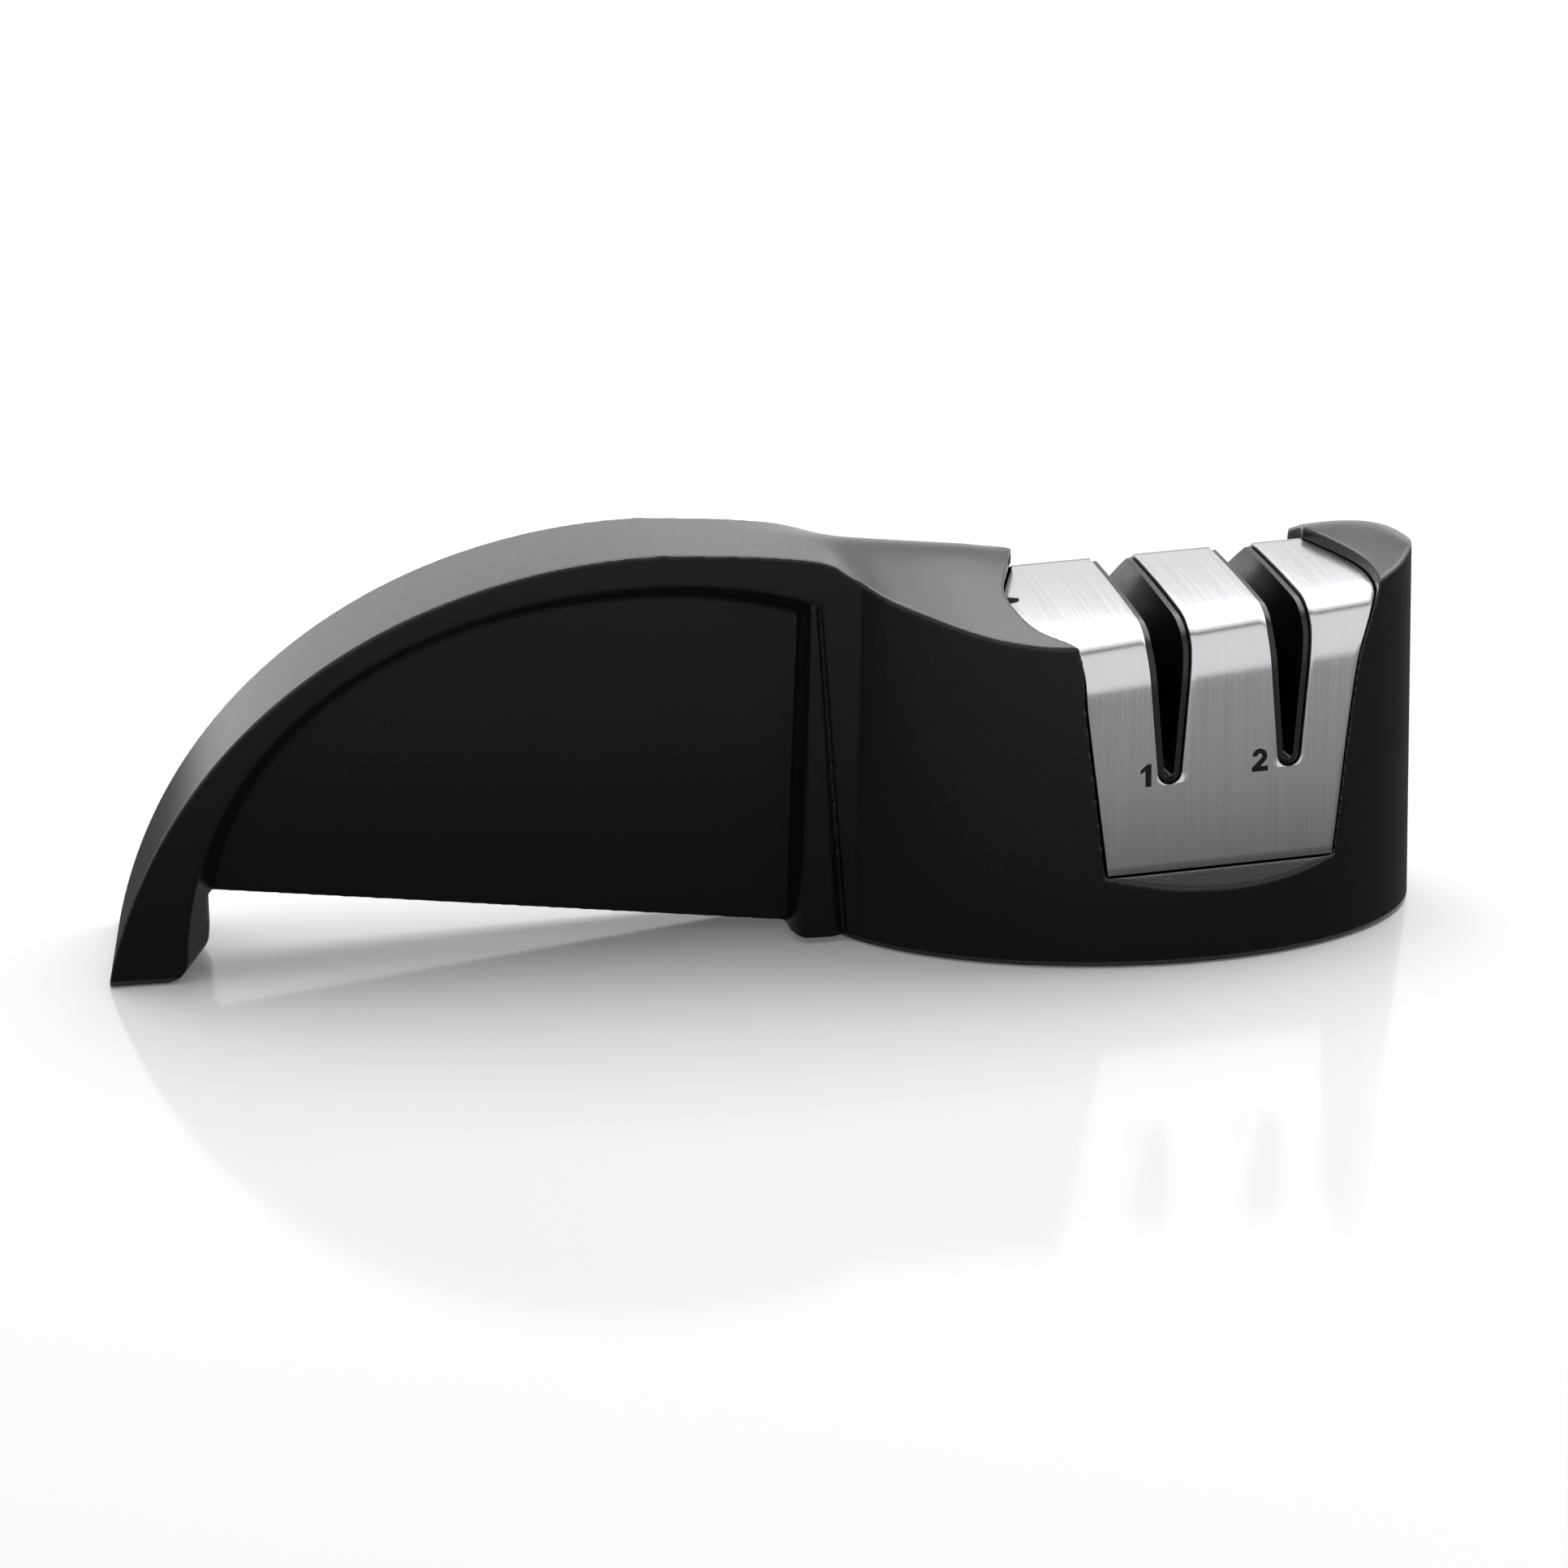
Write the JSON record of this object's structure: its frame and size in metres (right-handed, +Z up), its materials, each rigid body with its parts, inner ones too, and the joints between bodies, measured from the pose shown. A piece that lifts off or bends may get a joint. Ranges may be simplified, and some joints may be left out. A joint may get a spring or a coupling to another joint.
{
  "type": "knife sharpener",
  "caption": "Hand-held pull-through knife sharpener: an oval head with knife slots in a bent steel saddle over turning abrasive cones, and an arched handle with finger recesses.",
  "frame": {"origin": "on the table under the middle of the sharpener's length and width", "axes": "+X along the length towards the sharpening head, -Y towards the front that the user faces, +Z up"},
  "size_m": [0.211, 0.0692, 0.063],
  "materials": {
    "body_plastic": "moulded black plastic with a fine matte texture",
    "base_plastic": "moulded black plastic, matte",
    "guide_plastic": "moulded black plastic, satin",
    "cover_steel": "stainless sheet, brushed",
    "fastener_steel": "zinc-plated steel",
    "pad_rubber": "soft black rubber",
    "hub_plastic": "moulded dark grey plastic",
    "coarse_grit": "steel cone coated with coarse bonded grit",
    "fine_grit": "steel cone coated with fine bonded grit"
  },
  "bodies": {
    "base": {"body_shell": "body_plastic", "base_cover": "base_plastic", "guide_block": "guide_plastic", "slot_guide_1": "guide_plastic", "slot_guide_2": "guide_plastic", "steel_cover": "cover_steel", "base_screw_1": "fastener_steel", "base_screw_2": "fastener_steel", "base_screw_3": "fastener_steel", "block_screw_1": "fastener_steel", "block_screw_2": "fastener_steel", "axle": "fastener_steel", "axle_clip_left": "fastener_steel", "axle_clip_right": "fastener_steel", "preload_spring": "fastener_steel", "thrust_washer_1": "fastener_steel", "thrust_washer_2": "fastener_steel", "thrust_washer_3": "fastener_steel", "thrust_washer_4": "fastener_steel", "foot_pad_1": "pad_rubber", "foot_pad_2": "pad_rubber", "foot_pad_3": "pad_rubber", "foot_pad_4": "pad_rubber", "handle_pad": "pad_rubber"},
    "coarse_wheels": {"wheel_hub_1": "hub_plastic", "coarse_wheel_left": "coarse_grit", "coarse_wheel_right": "coarse_grit"},
    "fine_wheels": {"wheel_hub_2": "hub_plastic", "fine_wheel_left": "fine_grit", "fine_wheel_right": "fine_grit"}
  },
  "joints": [
    {"name": "coarse_spin", "type": "hinge", "parent": "base", "child": "coarse_wheels", "pos_m": [0.0545, 0, 0.025], "axis": [1, 0, 0], "continuous": true},
    {"name": "fine_spin", "type": "hinge", "parent": "base", "child": "fine_wheels", "pos_m": [0.0745, 0, 0.025], "axis": [1, 0, 0], "continuous": true}
  ]
}
